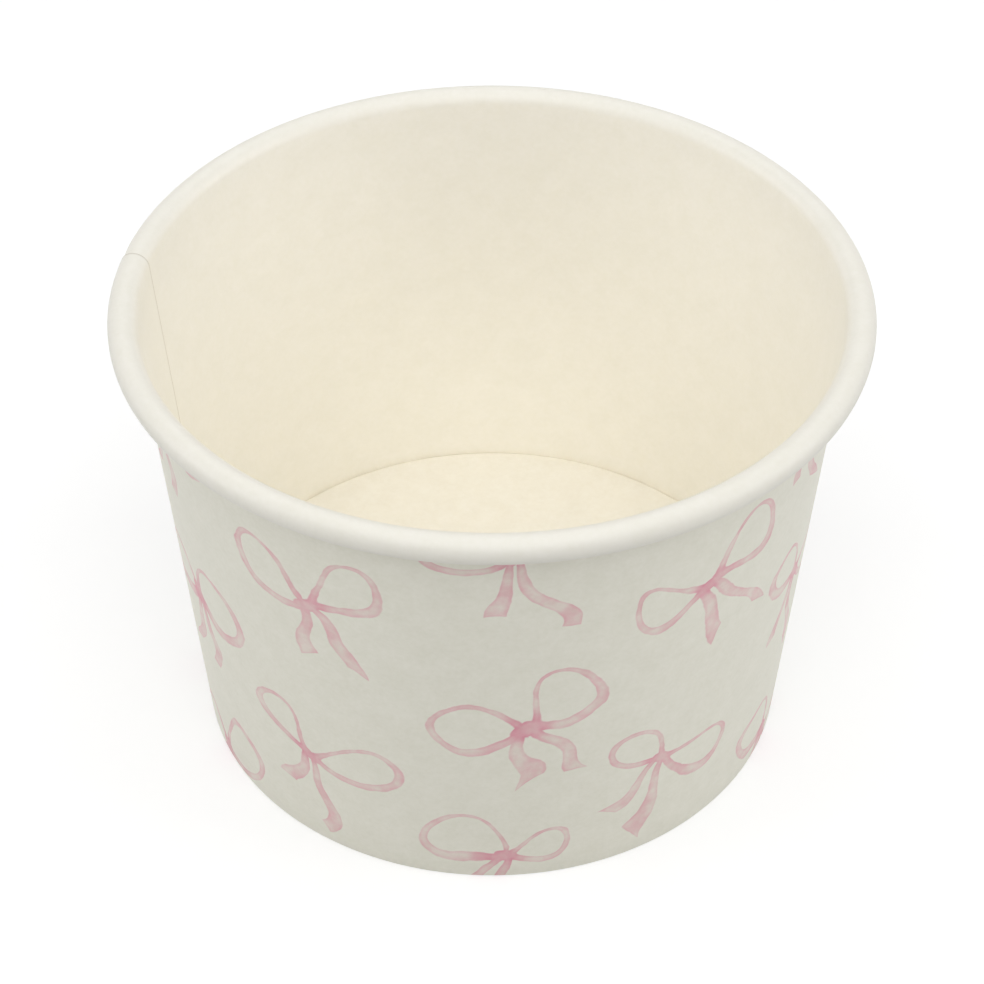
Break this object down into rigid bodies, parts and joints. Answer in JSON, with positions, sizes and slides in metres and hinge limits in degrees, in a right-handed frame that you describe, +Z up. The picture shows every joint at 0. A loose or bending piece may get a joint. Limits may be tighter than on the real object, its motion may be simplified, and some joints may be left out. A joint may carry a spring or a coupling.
{
  "type": "paper dessert cup",
  "caption": "Round tapered dessert cup of coated printed board, with a rolled rim, a lapped side seam and a recessed base over a folded foot.",
  "frame": {"origin": "centre of the foot, on the table", "axes": "+Z up along the cup's axis, from the foot to the rim; -Y towards the viewer; the outer end of the lapped seam is 184 degrees from +X, on the viewer's left"},
  "size_m": [0.09, 0.09, 0.061],
  "materials": {
    "printed_board": "thin film-coated board, satin, off-white with pale pink bows on the outside and ivory on the inside",
    "base_board": "thin film-coated board, satin, ivory"
  },
  "bodies": {
    "root": {"side_wall": "printed_board", "base_disc": "base_board"}
  },
  "joints": []
}
